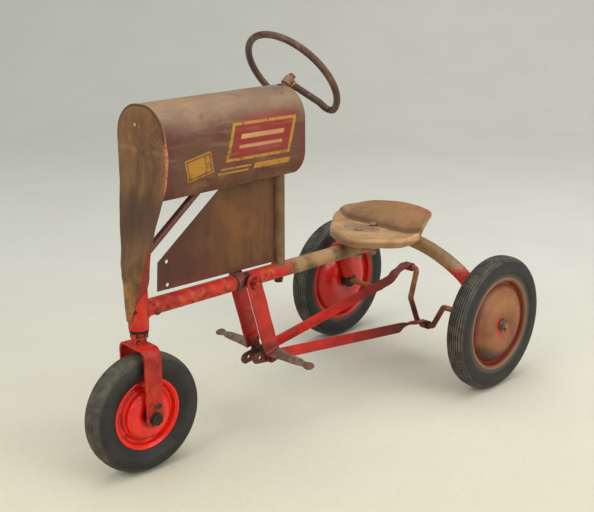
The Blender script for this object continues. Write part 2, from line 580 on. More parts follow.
M_FRAME = paint_red("red_frame", 0.7, 0.5)
M_SPINE = paint_red("red_spine", 0.9, 0.9, 0.40, spine_tan, near_joint)
M_FORK = paint_red("red_fork", 0.6, 0.3, 0.36)
M_ARM = paint_red("red_arm", 0.9, 0.3, 0.42, None, low_grime)
M_STEM = paint_red("red_stem", 1.6, 0.4, 0.40)
M_TAN = tan_patina("tan_tube", KHAKI, arch_red)
M_SEAT = seat_material()
M_HOOD = hood_material()
M_SHROUD = shroud_material()
M_PANEL = panel_material()
M_REAR_TYRE = rubber("rubber_rear", True)
M_FRONT_TYRE = rubber("rubber_front", False)
M_DISC_REAR = disc_red("disc_red_rear", False)
M_DISC_FRONT = disc_red("disc_red_front", True)
M_DISC_RUST = disc_rust()
M_CRANK = crank_material()
M_STEERING = steering_material("steering_brown", rgb(70, 46, 34), rgb(96, 64, 44))
M_SHAFT = steering_material("shaft_brown", rgb(112, 44, 34), rgb(96, 62, 46))
M_POST = steering_material("post_brown", rgb(132, 98, 64), rgb(108, 76, 46))
M_DARK = steel("steel_dark", rgb(52, 44, 38), rgb(34, 30, 28), 0.35)
M_BOLT = steel("steel_bolt", rgb(96, 82, 68), rgb(58, 48, 40), 0.4)
M_BAND = steel("steel_band", rgb(150, 56, 34), rgb(84, 56, 38), 0.5, 0.1)
M_NUT = steel("steel_nut", rgb(128, 120, 106), rgb(74, 66, 56), 0.25, 0.7, 0.32)
M_RIVET = steel("steel_seat_bolt", rgb(166, 128, 100), rgb(128, 96, 72), 0.2, 0.2)
M_BRASS = weld_material("weld_brass", rgb(206, 164, 96), rgb(140, 96, 52), 0.6)
M_WELD_RED = weld_material("weld_painted", rgb(170, 48, 32), rgb(96, 34, 24), 0.0)
M_WELD_TAN = weld_material("weld_tan", rgb(150, 116, 82), rgb(96, 66, 44), 0.1)


# ---- mesh helpers, all in millimetres ----
def mesh_piece(name, verts, faces, body, material, sharp=34.0):
    mesh = bpy.data.meshes.new(name)
    mesh.from_pydata([tuple(c * MM for c in v) for v in verts], [], faces)
    mesh.validate()
    obj = bpy.data.objects.new(name, mesh)
    bpy.context.scene.collection.objects.link(obj)
    mesh.materials.append(material)
    tidy(mesh, sharp)
    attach(obj, body)
    return obj


def tidy(mesh, sharp):
    bm = bmesh.new()
    bm.from_mesh(mesh)
    bmesh.ops.remove_doubles(bm, verts=bm.verts, dist=2e-6)
    bmesh.ops.recalc_face_normals(bm, faces=bm.faces)
    bm.to_mesh(mesh)
    bm.free()
    mesh.shade_smooth()
    mesh.set_sharp_from_angle(angle=radians(sharp))


def quads(rows, cols, round_rows=False, round_cols=False):
    """Faces of a grid of points listed row by row; it may close on itself either way."""
    return [(r * cols + c, r * cols + (c + 1) % cols, (r + 1) % rows * cols + (c + 1) % cols,
             (r + 1) % rows * cols + c) for r in range(rows if round_rows else rows - 1)
            for c in range(cols if round_cols else cols - 1)]


def loft(name, rings, body, material, sharp=34.0, closed=False):
    """A skin over rings of equal length. closed joins last to first; else both ends are capped."""
    n, k = len(rings[0]), len(rings)
    faces = quads(k, n, closed, True)
    if not closed:
        faces += [tuple(range(n)), tuple(range((k - 1) * n, k * n))[::-1]]
    return mesh_piece(name, [p for ring in rings for p in ring], faces, body, material, sharp)


def circle(centre, side, up, r, n):
    """Points of a circle in the plane of side and up."""
    return [tuple(centre + r * (side * cos(a) + up * sin(a))) for a in (2 * pi * j / n for j in range(n))]


def unit(v):
    return max(0.0, min(1.0, v))


def turn_x(point, angle, centre):
    """point turned about the X axis through centre (y, z)."""
    x, y, z = point
    dy, dz = y - centre[0], z - centre[1]
    c, s = cos(angle), sin(angle)
    return (x, centre[0] + dy * c - dz * s, centre[1] + dy * s + dz * c)


def lathe(name, profile, centre, body, material, steps=160, sharp=40.0, rough=0.0, yaw=0.0, seed=0.0):
    """profile is a closed list of (radius, x), turned about the X axis line through centre (y, z)."""
    rings = []
    for i in range(steps):
        a = 2 * pi * i / steps
        ring = []
        for r, x in profile:
            dr = rough * noise.noise(Vector((cos(a) * 1.7 + seed, sin(a) * 1.7,
                                             x * 0.05))) if rough else 0.0
            ring.append(turn_x((x, centre[0], centre[1] + r + dr), a, centre))
        rings.append(ring)
    if yaw:
        c, s = cos(yaw), sin(yaw)
        rings = [[(x * c - (y - centre[0]) * s, centre[0] + x * s + (y - centre[0]) * c, z) for x, y,
                  z in r] for r in rings]
    return loft(name, rings, body, material, sharp, closed=True)


def smooth_line(points, per=6):
    """Catmull-Rom points through a list of tuples."""
    pts = [Vector(p) for p in points]
    out = []
    for i in range(len(pts) - 1):
        p0, p1, p2, p3 = pts[max(i - 1, 0)], pts[i], pts[i + 1], pts[min(i + 2, len(pts) - 1)]
        for j in range(per):
            t = j / per
            out.append(0.5 * (2 * p1 + (p2 - p0) * t + (2 * p0 - 5 * p1 + 4 * p2 - p3) * t * t
                              + (3 * p1 - p0 - 3 * p2 + p3) * t ** 3))
    out.append(pts[-1])
    return [tuple(p) for p in out]


def strap_ring(centre, wide, thick, w, t, rc=0.8):
    """A rounded rectangle: wide and thick are unit vectors, w and t the full sizes."""
    hw, ht = w / 2, t / 2
    rc = min(rc, ht * 0.95, hw * 0.95)
    ring = []
    for sx, sy, a0 in ((1, 1, 0), (-1, 1, 90), (-1, -1, 180), (1, -1, 270)):
        for k in range(4):
            a = radians(a0 + 30 * k)
            u = sx * (hw - rc) + rc * cos(a)
            v = sy * (ht - rc) + rc * sin(a)
            ring.append(tuple(centre + wide * u + thick * v))
    return ring


def bead(name, points, r, body, material, lumps=26, seed=0.0):
    """A closed weld bead along a loop of points."""
    n = len(points)
    rings = []
    for i, p in enumerate(points):
        p = Vector(p)
        along = (Vector(points[(i + 1) % n]) - Vector(points[i - 1])).normalized()
        side = along.cross(Vector((0.31, 0.2, 0.93))).normalized()
        up = along.cross(side)
        uneven = 0.35 * noise.noise(p * 0.11 + Vector((seed, 0, 0)))
        swell = r * (1 + 0.16 * sin(lumps * 2 * pi * i / n) + uneven)
        rings.append(circle(p, side, up, swell, 10))
    return loft(name, rings, body, material, 60, closed=True)


def tube(name, points, r, body, material, sides=20, sharp=50, ends=1.0):
    """A round rod along points; its two end rings are scaled by ends."""
    line = [Vector(p) for p in points]
    rings, side = [], None
    for i, p in enumerate(line):
        way = (line[min(i + 1, len(line) - 1)] - line[max(i - 1, 0)]).normalized()
        side = way.orthogonal().normalized() if side is None else (side - way * side.dot(way)).normalized()
        scale = ends if i in (0, len(line) - 1) else 1.0
        rings.append(circle(p, side, way.cross(side), r * scale, sides))
    return loft(name, rings, body, material, sharp)


# ---- tyres and wheel discs ----
def tyre_profile(outer, half, bed, mouth, grooves, depth, power=2.25):
    """Closed (radius, x) outline of a tyre of that outer radius and half width, over a bed."""
    mid, tall = (outer + bed) / 2, (outer - bed) / 2
    pts = []
    for i in range(-60, 61):
        a = radians(i * 2.4)
        c, s = cos(a), sin(a)
        r = mid + tall * copysign(abs(c) ** (2 / power), c)
        x = half * copysign(abs(s) ** (2 / power), s)
        pts.append((r, x))
    out = []
    crown = [p for p in pts if p[0] > outer - 6.5]
    x_lo, x_hi = crown[0][1], crown[-1][1]

    def crown_r(x):
        for (r0, a), (r1, b) in zip(pts, pts[1:]):
            if a <= x <= b:
                return r0 + (r1 - r0) * (x - a) / max(b - a, 1e-9)
        return outer

    out += [p for p in pts if p[1] < x_lo and p[0] > bed + 1]
    xs = [x_lo + (x_hi - x_lo) * k / 48 for k in range(49)]
    marks = [(x, 0.0) for x in xs if all(abs(x - g) > 1.15 for g in grooves)]
    for g in grooves:
        marks += [(g - 1.05, 0.0), (g - 0.7, depth), (g + 0.7, depth), (g + 1.05, 0.0)]
    out += [(crown_r(x) - d, x) for x, d in sorted(marks)]
    out += [p for p in pts if p[1] > x_hi and p[0] > bed + 1]
    out += [(bed, mouth), (bed - 1.5, mouth - 1), (bed - 1.5, 1 - mouth), (bed, -mouth)]
    return out


rear_profile = tyre_profile(REAR_R, half=19.5, bed=90.2, mouth=15.0, depth=2.2, power=2.7,
                            grooves=(-10.5, -6.3, -2.1, 2.1, 6.3, 10.5))
for side, sign in SIDES:
    prof = [(r, sign * (TRACK_X + x)) for r, x in rear_profile]
    tyre = lathe(f"rear_tread_{side}", prof, (REAR_Y, REAR_R), f"rear_wheel_{side}", M_REAR_TYRE, 200, 38,
                 0.18, 0, sign)
    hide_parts(f"rear_tyre_{side}")
front_profile = tyre_profile(FRONT_R, half=23.5, bed=60.4, mouth=16.5, depth=0.55,
                             grooves=(-9.5, -3.2, 3.2, 9.5))
tyre = lathe("front_tread", front_profile, (FRONT_Y, FRONT_R), "front_wheel", M_FRONT_TYRE, 180, 38, 0.2,
             STEER)
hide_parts("front_tyre")


def disc_profile(rim, xf, hub, deep, dome_h):
    """Closed outline of one pressed wheel half: rolled flange, channel, domed face."""
    t = 1.7
    bulge = dome_h + 3.6
    face = [(rim + 3.0, xf - 0.6), (rim + 2.2, xf + 1.0), (rim + 0.4, xf + 1.9), (rim - 1.6, xf + 1.3),
            (rim - 3.0, xf - 0.6), (rim - 4.6, xf - deep * 0.55), (rim - 7.4, xf - deep * 0.96),
            (rim - 10.6, xf - deep), (rim - 13.4, xf - deep * 0.8), (rim - 15.6, xf - deep * 0.42),
            (rim - 18.6, xf - deep * 0.08), (rim * 0.66, xf + 0.52 * bulge),
            (rim * 0.54, xf + 0.88 * bulge), (rim * 0.42, xf + bulge), (rim * 0.31, xf + 0.92 * bulge),
            (hub + 5, xf + dome_h + 0.4), (hub, xf + dome_h)]
    face = smooth_line([(r, x, 0) for r, x in face], 4)
    face = [(r, x) for r, x, _ in face]
    back = []
    for i, (r, x) in enumerate(face):
        a, b = face[max(i - 1, 0)], face[min(i + 1, len(face) - 1)]
        d = hypot(b[0] - a[0], b[1] - a[1])
        back.append((r + t * (b[1] - a[1]) / d, x - t * (b[0] - a[0]) / d * -1))
    return face + back[::-1]


def disc(name, rim, xf, hub, deep, dome_h, centre, offset, sign, body, material, node, yaw=0.0):
    prof = [(r, offset + sign * x) for r, x in disc_profile(rim, xf, hub, deep, dome_h)]
    piece = lathe(name, prof, centre, body, material, 144, 50, 0.12, yaw, rim * 0.1 + sign)
    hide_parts(node)


REAR_DISC = (86.5, 14.5, 10.3, 10)  # rim, face, hub and depth of the channel
FRONT_DISC = (57, 13.5, 9.2, 8)
for side, sign in SIDES:
    for place, way, dome_h in (("outer", sign, 5.2), ("inner", -sign, 7.0)):
        worn = M_DISC_RUST if (side, place) == ("left", "outer") else M_DISC_REAR
        disc(f"rear_face_{side}_{place}", *REAR_DISC, dome_h, (REAR_Y, REAR_R), sign * TRACK_X, way,
             f"rear_wheel_{side}", worn, f"rear_disc_{side}_{place}")
for side, sign in SIDES:
    disc(f"front_face_{side}", *FRONT_DISC, 8.0, (FRONT_Y, FRONT_R), 0, sign, "front_wheel", M_DISC_FRONT,
         f"front_disc_{side}", STEER)


# ---- hood ----
def hood_section():
    """Half round top, straight sides and curled edges, from the left lower edge over to the right one."""
    pts = [(9.5 + CURL_R * cos(radians(a)), SIDE_Z0 + CURL_R * sin(radians(a)))
           for a in range(-60, 0, 5)]
    pts += [(HOOD_HALF, SIDE_Z0 + (HOOD_TOP - HOOD_R - SIDE_Z0) * k / 6) for k in range(6)]
    pts += [(6.5 + HOOD_R * cos(radians(a)),
             HOOD_TOP - HOOD_R + HOOD_R * sin(radians(a))) for a in range(0, 91, 5)]
    return pts + [(-x, z) for x, z in pts[::-1]]


def bevel(obj, name, width, angle):
    mod = obj.modifiers.new(name, "BEVEL")
    mod.width, mod.segments, mod.limit_method = width * MM, 2, "ANGLE"
    mod.angle_limit = radians(angle)


def thicken(obj, t):
    mod = obj.modifiers.new("thick", "SOLIDIFY")
    mod.thickness, mod.offset = t * MM, -1.0


def sheet(name, grid, t, body, material, sharp=40.0):
    """A grid of points given thickness t inwards, with rounded rims."""
    verts = [tuple(p) for row in grid for p in row]
    obj = mesh_piece(name, verts, quads(len(grid), len(grid[0])), body, material, sharp)
    thicken(obj, t)
    bevel(obj, "rim", 0.5, 50)
    return obj


def apply_modifiers(obj, sharp=40.0):
    graph = bpy.context.evaluated_depsgraph_get()
    mesh = bpy.data.meshes.new_from_object(obj.evaluated_get(graph))
    obj.modifiers.clear()
    obj.data = mesh
    mesh.shade_smooth()
    mesh.set_sharp_from_angle(angle=radians(sharp))


def cutter(points_a, points_b, r, sides=40):
    """A plain cylinder between two points, used to cut holes and then removed."""
    a, b = Vector(points_a), Vector(points_b)
    along = (b - a).normalized()
    side = along.orthogonal().normalized()
    up = along.cross(side)
    rings = [circle(p, side, up, r, sides) for p in (a, b)]
    return loft("cutter", rings, ROOT, M_DARK)


def cut(obj, tool, sharp=40.0):
    mod = obj.modifiers.new("cut", "BOOLEAN")
    mod.operation, mod.object, mod.solver = "DIFFERENCE", tool, "EXACT"
    apply_modifiers(obj, sharp)
    bpy.data.objects.remove(tool, do_unlink=True)


def column_point(s):
    """A point on the steering column, s along it from the ball."""
    return (0.0, FRONT_Y + s * cos(COLUMN), BALL_Z + s * sin(COLUMN))


DENT_Y, DENT_Z, DENT_DEEP = -96, 562, 1.6  # a dent by the panel, left side
HOOD_MID_Z = 510
COLUMN_HOLE_R = 10.4


def hood_sag(y):
    """The hood hangs a little lower at its front end."""
    return -5.0 * (HOOD_Y1 - y) / (HOOD_Y1 - HOOD_Y0) + 1.5


section = hood_section()
grid = []
for k in range(61):
    y = HOOD_Y0 + (HOOD_Y1 - HOOD_Y0) * k / 60
    row = []
    for x, z in section:
        n = noise.noise(Vector((x * 0.02, y * 0.012, z * 0.02)))
        dent = DENT_DEEP * exp(-(((y - DENT_Y) / 26) ** 2 + ((z - DENT_Z) / 14) ** 2)) if x > 0 else 0.0
        flow = 0.7 * n * min(1.0, (y - HOOD_Y0) / 30) - dent
        length = hypot(x, z - HOOD_MID_Z) or 1
        row.append((x + flow * x / length, y, z + flow * (z - HOOD_MID_Z) / length + hood_sag(y)))
    grid.append(row)
hood = sheet("hood_sheet", grid, 1.5, ROOT, M_HOOD)
apply_modifiers(hood)
cut(hood, cutter(column_point(345), column_point(455), COLUMN_HOLE_R))
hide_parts("hood")


# ---- front shroud ----
def curve_at(points, z):
    """Value at z on a curve of (z, value) points."""
    for (z0, v0), (z1, v1) in zip(points, points[1:]):
        if z0 <= z <= z1:
            return v0 + (v1 - v0) * (z - z0) / (z1 - z0)
    return points[-1][1] if z > points[-1][0] else points[0][1]


def curve(points):
    """Smoothed (z, value) points."""
    return [(p[0], p[1]) for p in smooth_line([(z, v, 0) for z, v in points], 5)]


# y of the face and of the back edge, half width, and how much the waist below the hood draws in, by height
SHROUD_FACE = curve([(252, -365), (278, -364.6), (303, -363.2), (334, -360.0), (365, -350), (400, -342),
                     (430, -336), (472, -328.8), (540, -327.8), (582, -327.2)])
SHROUD_BACK = curve([(252, -361.2), (262, -360.4), (280, -356.2), (291, -349), (300, -344), (312, -342),
                     (324, -341.8), (340, -343), (360, -342.4), (384, -340.1), (408, -335.7),
                     (432, -330.7), (446, -327.5), (462, -324.4), (484, -322.4), (506, -321.0),
                     (528, -323.4), (552, -325), (582, -325)])
SHROUD_HALF = curve([(252, 13), (300, 26), (365, 43), (430, 52.4), (472, 57.4), (500, 57.9), (529, 57.9)])
SHROUD_WAIST = curve([(252, -1), (276, 0), (300, 2.2), (324, 3.2), (336, 2.2), (348, 3.4), (365, 4.8),
                      (396, 5.8), (420, 3.4), (440, 2.2), (472, 0.8), (500, 0)])


def shroud_half(y, z):
    """Half width of the shroud: it narrows towards its front below the hood."""
    kink = 1.6 * exp(-((z - 318) / 6) ** 2)
    return min(curve_at(SHROUD_HALF, z), 0.5 * (y + 249.6 + 0.48 * z) + kink) - curve_at(SHROUD_WAIST, z)


SHROUD_FOOT_Z, ARC_Z, ARC_X, ARC_R = 252, 529, 7.0, 50.9  # the foot, and the corner arcs of the top
outline = [(None, SHROUD_FOOT_Z + (ARC_Z - SHROUD_FOOT_Z) * k / 64) for k in range(65)]
outline += [(ARC_X + ARC_R * cos(radians(t)), ARC_Z + ARC_R * sin(radians(t)))
            for t in range(3, 91, 3)]
half_grid = []
for x, z in outline:
    yb, yf = curve_at(SHROUD_BACK, z), curve_at(SHROUD_FACE, z)
    soft = 3.2 + 6.0 * unit((470 - z) / 60) * unit((z - 250) / 60)
    rc = min(soft, 0.85 * (yb - yf))
    ys = [yb + (yf + rc - yb) * j / 4 for j in range(5)]
    if x is None:
        flank = [(shroud_half(y, z), y, z) for y in ys]
        corner = (shroud_half(yf, z), yf, z)
        inward, reach = Vector((-1, 0, 0)), shroud_half(yf, z)
    else:
        flank = [(x, y, z) for y in ys]
        corner = (x, yf, z)
        inward, reach = Vector((-x, 0, ARC_Z - z)).normalized(), hypot(x, z - ARC_Z)
    side_cut = min(rc, 0.6 * reach)
    p1, pc = Vector(flank[-1]), Vector(corner)
    p2 = pc + inward * side_cut
    row = flank + [tuple(p1 * (1 - t) ** 2 + pc * 2 * t * (1 - t) + p2 * t * t)
                   for t in (0.17, 0.33, 0.5, 0.67, 0.83, 1.0)]
    for j in range(1, 11):
        share = j / 10
        q = pc + inward * (side_cut + (reach - side_cut) * share)
        crumple = 1.8 * exp(-((z - 322 + 0.3 * (20 - abs(q.x))) / 5) ** 2)
        crumple *= exp(-((q.x - 8) / 16) ** 2)
        ripple = 0.9 * noise.noise(Vector((q.x * 0.03, 3, z * 0.012))) * sin(share * pi)
        row.append((q.x, q.y - 0.9 * sin(share * pi / 2) + ripple + crumple, q.z))
    half_grid.append(row)
half_grid = [[(x, y, z - 4.0 * unit((z - 470) / 60)) for x, y, z in row] for row in half_grid]
grid = half_grid + [[(-x, y, z) for x, y, z in row] for row in half_grid[::-1]]
shroud = sheet("shroud_sheet", grid, 1.2, ROOT, M_SHROUD, 50)
apply_modifiers(shroud, 50)
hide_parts("front_shroud")

# ---- seat ----
SEAT_Z, SEAT_RISE, SEAT_FOLD = 299.5, 39.0, 197.0
FLAP = 66  # length of the back flap
RIM_V, TURN_V = 0.75, 0.87  # where the top skin ends, and where the rolled edge points down
SEAT_MID = Vector((8, 182, 0))
SEAT_PLAN = [(30, 93, 0), (66, 113, 0), (97, 142, 0), (111, 168, 0), (115, 198, 0), (111, 228, 0),
             (87, 250, 0), (44, 261, 0), (-4, 260, 0), (-54, 249, 0), (-88, 228, 0), (-98, 199, 0),
             (-80, 166, 0), (-46, 128, 0), (-9, 107, 0)]
SEAT_EDGE = smooth_line((SEAT_PLAN * 3)[14:32], 8)[8:128]


def pan_lift(x, y):
    """Rise of the back flap behind its fold, and of the two sides."""
    d = y - SEAT_FOLD + 0.06 * x
    bend = 0.0 if d < -1.5 else (d + 1.5) ** 2 / 6 if d < 1.5 else d
    side = max(0.0, (abs(x) - 70) / 40)
    bow = 0.0040 * max(0.0, d) * (FLAP - min(FLAP, d)) - 2.2 * exp(-((d - 2) / 4.0) ** 2)
    side_rise = (9 if x > 0 else 28) * side * side * unit((y - 150) / 50)
    return SEAT_RISE / FLAP * bend + bow + side_rise


def pan_point(i, v):
    """Point of the seat pan's skin: i goes round it, v from the middle (0) over the rim to the lip (1)."""
    e = Vector(SEAT_EDGE[i % 120]) - SEAT_MID
    rad = e.length
    bend = unit((v - RIM_V) / (TURN_V - RIM_V)) * pi / 2
    w = v / RIM_V * (rad - 6) if v <= RIM_V else rad - 6 + 6 * sin(bend)
    p = SEAT_MID + e * (w / rad)
    drop = 15 - 10 * unit((p.y - 180) / 35)
    roll = 0
    if v > RIM_V:
        roll = min(6.0, drop) * (1 - cos(bend)) + max(0.0, drop - 6) * max(0, (v - TURN_V) / (1 - TURN_V))
    z = SEAT_Z + pan_lift(p.x, p.y) - roll
    oval = ((p.x + 4) / 34) ** 2 + ((p.y - 170) / 21) ** 2
    z -= 1.0 / (1 + oval ** 4)
    z += 0.7 * noise.noise(Vector((p.x * 0.03, p.y * 0.03, 5)))
    return (p.x, p.y, z)


rounds = 120
levels = [0.02] + [RIM_V * k / 30 for k in range(1, 31)]
levels += [RIM_V + (TURN_V - RIM_V) * k / 7 for k in range(1, 8)] + [0.92, 0.96, 1.0]
grid = [[pan_point(i, v) for v in levels] for i in range(rounds)]
verts = [p for row in grid for p in row]
cols = len(levels)
faces = quads(rounds, cols, True)
verts.append((SEAT_MID.x, SEAT_MID.y, sum(row[0][2] for row in grid) / rounds))
faces += [(len(verts) - 1, i * cols, ((i + 1) % rounds) * cols) for i in range(rounds)]
seat = mesh_piece("seat_pressing", verts, faces, ROOT, M_SEAT, 60)
thicken(seat, 1.8)
bevel(seat, "rim", 0.6, 60)
apply_modifiers(seat, 60)
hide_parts("seat_pan")


# ---- pedal arms with their foot pegs ----
def arm_frame(y, z):
    """Local arm plane (y forward, z up from the pivot) turned by the lean."""
    c, s = cos(ARM_LEAN), sin(ARM_LEAN)
    return PIVOT_Y + y * c - z * s, SPINE_Z + y * s + z * c


def arm(side, sign):
    stations = []  # x, z below pivot, thickness direction (x, z), width
    mid = ARM_X + ARM_T / 2
    for k in range(9):  # rounded top end
        a = radians(90 - 90 * k / 8)
        stations.append((mid, 15.5 * sin(a), (1, 0), max(31 * cos(a) * 1.0, 1.5)))
    for k in range(1, 15):
        z = -(BEND_H - 1) * k / 14
        stations.append((mid, z, (1, 0), ARM_W - 0.6 * sin(k)))
    rb = 5.0
    for k in range(1, 7):  # bend outwards
        a = radians(90 * k / 6)
        stations.append((mid + rb * (1 - cos(a)), -BEND_H - rb * sin(a) + 0.0,
                         (cos(a), sin(a)), ARM_W - 3 * k / 6))
    widths = [(30, 26), (38, 23.5), (48, 21), (62, 19), (80, 17.6), (92, 15.5), (96, 12.5), (99, 11),
              (103, 11.4), (106, 14), (110, 16.5), (114, 16.8), (117, 15), (119, 12), (120.2, 8),
              (120.5, 3)]
    for x, w in widths:
        dip = -0.5 * sin((x - 30) / 16)
        stations.append((x, -BEND_H - rb + dip - 0.03 * (x - 30), (0, 1), w))
    rings = []
    for x, z, (tx, tz), w in stations:
        y0, z0 = arm_frame(0, z)
        wy, wz = cos(ARM_LEAN), sin(ARM_LEAN)
        wide = Vector((0, wy, wz))
        thick = Vector((tx * sign, -sin(ARM_LEAN) * tz, cos(ARM_LEAN) * tz)).normalized()
        rings.append(strap_ring(Vector((x * sign, y0, z0)), wide, thick, w, 3.9, 1.1))
    obj = loft(f"pedal_strap_{side}", rings, f"arm_{side}", M_ARM_PEG, 34)
    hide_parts(f"pedal_arm_{side}", f"foot_peg_{side}")


def arm_peg_material():
    """The arm's red paint, worn to brown steel where the strap becomes the foot peg."""
    m = Mat("arm_and_peg")
    broad, fine = m.noise(24, 4), m.noise(170, 6, 0.62)
    m.skin = m.tone(broad, 0.35, 0.72, rgb(190, 32, 12), RED_DEEP)
    m.coat(m.blotch(0.46, 0.66, 60, 6, 0.62, seed=3), rgb(172, 74, 48), 0.5)
    bare = bare_metal(m, fine, 32, 0.69, m.blotch(0.34, 0.6, 90, 4, seed=5))
    m.coat(bare, m.tone(fine, 0.4, 0.6, RUST_DARK, GRIME))
    grime = low_grime(m)
    m.coat(grime, m.mix(fine, rgb(70, 34, 26), rgb(52, 36, 28)), 0.8)
    out = m.step(m.add(m.abs(m.x), m.wobble(0.012, 80, 4, seed=8)), 0.029, 0.036)
    peg = m.mix(m.blotch(0.4, 0.62, 70, 6, 0.64, seed=2), rgb(128, 106, 88), rgb(92, 66, 52))
    peg = m.mix(m.mul(m.step(m.abs(m.x), 0.098, 0.104), 0.7), peg, rgb(92, 50, 36))
    peg = m.mix(m.mul(m.edges(0.001), 0.6), peg, rgb(168, 150, 130))
    m.coat(out, peg)
    rough = m.level(0.38, fine, 0.18, bare, 0.25)
    return m.done(rough, m.bump(m.sub(m.mul(fine, 0.3), m.mul(bare, 0.5)), 0.0006, 0.5))


M_ARM_PEG = arm_peg_material()
arm("left", 1)
arm("right", -1)


# ---- drive links, twisted and rolled round the crank pins ----
def link(side, sign, dz):
    by, bz = arm_frame(0, -ARM_LEN)
    ey, ez = REAR_Y + PIN_DY, REAR_R + dz
    span = hypot(ey - by, ez - bz)
    ca, sa = (ey - by) / span, (ez - bz) / span
    along, across, outx = Vector((0, ca, sa)), Vector((0, -sa, ca)), Vector((sign, 0, 0))
    start = Vector((0, by, bz))
    mid_x = LINK_X + LINK_T / 2
    eye_x, eye_w, eye_t = 20.3, 13.2, 2.85
    eye_r = ROD_R + 0.1 + eye_t / 2
    rings = []
    for k in range(9):  # rounded front end
        a = radians(90 - 90 * k / 8)
        c = start + along * (-30 - 10 * sin(a)) + outx * mid_x
        rings.append(strap_ring(c, across, outx, max(LINK_W * cos(a), 1.2), LINK_T - 0.2, 1.0))
    l0, l1, l2 = span - 78, span - 36, span - 9
    for k in range(1, 13):
        c = start + along * (-30 + (l0 + 30) * k / 12) + outx * mid_x
        rings.append(strap_ring(c, across, outx, LINK_W, LINK_T - 0.2, 1.0))
    for k in range(1, 17):  # the quarter twist
        u = k / 16
        e = u * u * (3 - 2 * u)
        a = e * pi / 2
        c = start + along * (l0 + (l1 - l0) * u) + outx * (mid_x + (eye_x - mid_x) * e) + across * (eye_r
                * e)
        wide = (across * cos(a) + outx * sin(a)).normalized()
        thick = (outx * cos(a) - across * sin(a)).normalized()
        rings.append(strap_ring(c, wide, thick, LINK_W + (17.0 - LINK_W) * e, LINK_T - 0.2 - 0.5 * e, 1.0))
    for k in range(1, 7):
        u = k / 6
        c = start + along * (l1 + (l2 - l1) * u) + outx * eye_x + across * eye_r
        rings.append(strap_ring(c, outx, -across, 17.0 + (eye_w - 17.0) * u, 3.3 + (eye_t - 3.3) * u, 1.0))
    pin = start + along * span
    for k in range(0, 33):  # rolled over the pin and back to the strap
        a = radians(90 - 318 * k / 32)
        radial = along * cos(a) + across * sin(a)
        rings.append(strap_ring(pin + radial * eye_r + outx * eye_x, outx, -radial, eye_w, eye_t, 0.9))
    obj = loft(f"link_strap_{side}", rings, f"drive_link_{side}", M_LINK_WORN, 34)
    spare = start - along * 24
    cut(obj, cutter(spare, spare + outx * 40, 3.6), 34)
    head = lathe(f"link_bolt_{side}", [(0.4, -6.0), (6.0, -6.0), (7.0, -5.2), (7.0, -2.0), (8.6, -1.7),
                                       (9.0, -1.2), (9.0, 0.6), (0.4, 0.6)], (by, bz),
                 f"drive_link_{side}", M_DARK, 6, 20)
    for v in head.data.vertices:
        v.co.x = (LINK_X * MM + v.co.x) * sign
    head.data.update()
    tidy(head.data, 20)
    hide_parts(f"link_{side}")


def link_material():
    """Bright red strap, darker and scuffed towards the crank, dark and oily at the front end."""
    m = Mat("red_link_worn")
    broad, fine = m.noise(26, 4, seed=2), m.noise(180, 6, 0.62)
    m.skin = m.tone(broad, 0.35, 0.72, rgb(204, 28, 9), rgb(156, 18, 7))
    rear = m.step(m.add(m.y, m.wobble(0.16, 22, 5, seed=5)), 0.1, 0.24)
    m.coat(rear, rgb(92, 24, 14), 0.8)
    dirt = m.blotch(0.52, 0.66, 46, 7, 0.68, stretch=(1, 0.5, 1), seed=7)
    m.coat(dirt, rgb(88, 34, 26), 0.7)
    bare = bare_metal(m, fine, 34, 0.70, m.blotch(0.36, 0.6, 80, 4, seed=6), 0.8)
    m.coat(bare, m.tone(fine, 0.4, 0.6, RUST_DARK, rgb(110, 70, 52)))
    front = m.step(m.add(m.y, m.wobble(0.02, 60, 4, seed=9)), -0.05, -0.066)
    m.coat(front, m.mix(fine, rgb(58, 30, 24), rgb(40, 30, 26)), 0.85)
    rough = m.level(0.36, fine, 0.18, bare, 0.25)
    return m.done(rough, m.bump(m.sub(m.mul(fine, 0.3), m.mul(bare, 0.5)), 0.0006, 0.5))


M_LINK_WORN = link_material()
link("left", 1, -PIN_DZ)
link("right", -1, PIN_DZ)

# ---- welds, rivet, screw and cotter pins ----
loop = [2 * pi * k / 96 for k in range(96)]
bead("weld_post", [(POST_R * cos(a), POST_Y + POST_R * sin(a),
                    SPINE_Z + sqrt(SPINE_R ** 2 - (POST_R * cos(a)) ** 2)) for a in loop], 1.7,
     ROOT, M_WELD_TAN)
bead("weld_head", [(SPINE_R * cos(a), FRONT_Y + sqrt(HEAD_R ** 2 - (SPINE_R * cos(a)) ** 2),
                    SPINE_Z + SPINE_R * sin(a)) for a in loop], 1.9, ROOT, M_WELD_RED, 30, 3)
bead("weld_arch", [(SPINE_R * cos(a),
                    ARCH_Y - sqrt(max(SPINE_R ** 2 - (SPINE_R * sin(a)) ** 2, 0)) * 0.98,
                    SPINE_Z + SPINE_R * sin(a)) for a in loop], 1.9, ROOT, M_WELD_TAN, 30, 5)
crown = [(11 * cos(a), FRONT_Y + 11 * sin(a), 211.0) for a in loop]
bead("weld_crown", crown, 1.7, "fork", M_WELD_RED, 24, 7)
along = Vector((0, cos(COLUMN), sin(COLUMN)))
lower = Vector((0, sin(COLUMN), -cos(COLUMN)))


def wheel_point(r, a, s):
    return Vector(column_point(s)) + Vector((r * cos(a), 0, 0)) + lower * (r * sin(a))


